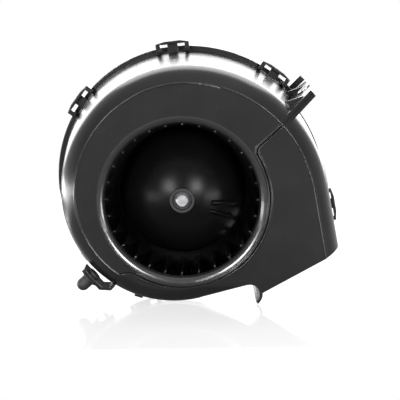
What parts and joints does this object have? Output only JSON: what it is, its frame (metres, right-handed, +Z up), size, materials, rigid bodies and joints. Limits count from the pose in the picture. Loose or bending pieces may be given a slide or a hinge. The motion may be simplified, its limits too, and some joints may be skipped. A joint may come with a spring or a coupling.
{
  "type": "centrifugal blower fan",
  "caption": "Centrifugal heater blower: squirrel-cage wheel on a brushed motor in a black snail casing with round front inlet, side outlet, clipped rear cover and a mounting eye.",
  "frame": {"origin": "on the wheel axis, in the plane of the casing's flat front face", "axes": "+X to the right seen from the inlet, +Y along the wheel axis from the inlet to the rear cover, +Z up"},
  "size_m": [0.1938, 0.1107, 0.173],
  "materials": {
    "casing_plastic": "black moulded polypropylene, half gloss",
    "wheel_plastic": "black moulded nylon, satin",
    "motor_plastic": "black phenolic",
    "bright_steel": "ground steel",
    "zinc_plate": "zinc-plated sheet steel",
    "laminations": "stacked electrical steel",
    "copper": "enamelled copper",
    "brass": "plain brass",
    "bronze": "sintered bronze",
    "ferrite": "sintered ferrite",
    "carbon": "pressed carbon",
    "rubber": "black rubber"
  },
  "bodies": {
    "casing": {"upper_shell": "casing_plastic", "lower_shell": "casing_plastic", "rear_cover": "casing_plastic", "mounting_eyelet": "bright_steel", "locating_peg": "rubber", "motor_can": "zinc_plate", "field_magnets": "ferrite", "front_bearing": "bronze", "rear_bearing": "bronze", "motor_end_cap": "motor_plastic", "power_terminals": "brass", "connector_socket": "motor_plastic", "motor_flange": "zinc_plate", "motor_isolators": "rubber", "motor_screws": "bright_steel", "brush_spring_upper": "bright_steel", "brush_spring_lower": "bright_steel"},
    "rotor": {"fan_wheel": "wheel_plastic", "shaft_clip": "zinc_plate", "motor_shaft": "bright_steel", "armature_core": "laminations", "armature_windings": "copper", "commutator": "copper", "thrust_washers": "zinc_plate"},
    "brush_upper": {"brush_upper": "carbon"},
    "brush_lower": {"brush_lower": "carbon"}
  },
  "joints": [
    {"name": "wheel_spin", "type": "hinge", "parent": "casing", "child": "rotor", "pos_m": [0, 0, 0], "axis": [0, 1, 0], "continuous": true},
    {"name": "brush_upper_slide", "type": "slide", "parent": "casing", "child": "brush_upper", "axis": [0, 0, 1], "range_m": [0, 0.003], "stiffness_N_per_m": 250, "springref_m": -0.004, "deforming": ["brush_spring_upper"]},
    {"name": "brush_lower_slide", "type": "slide", "parent": "casing", "child": "brush_lower", "axis": [0, 0, -1], "range_m": [0, 0.003], "stiffness_N_per_m": 250, "springref_m": -0.004, "deforming": ["brush_spring_lower"]}
  ]
}
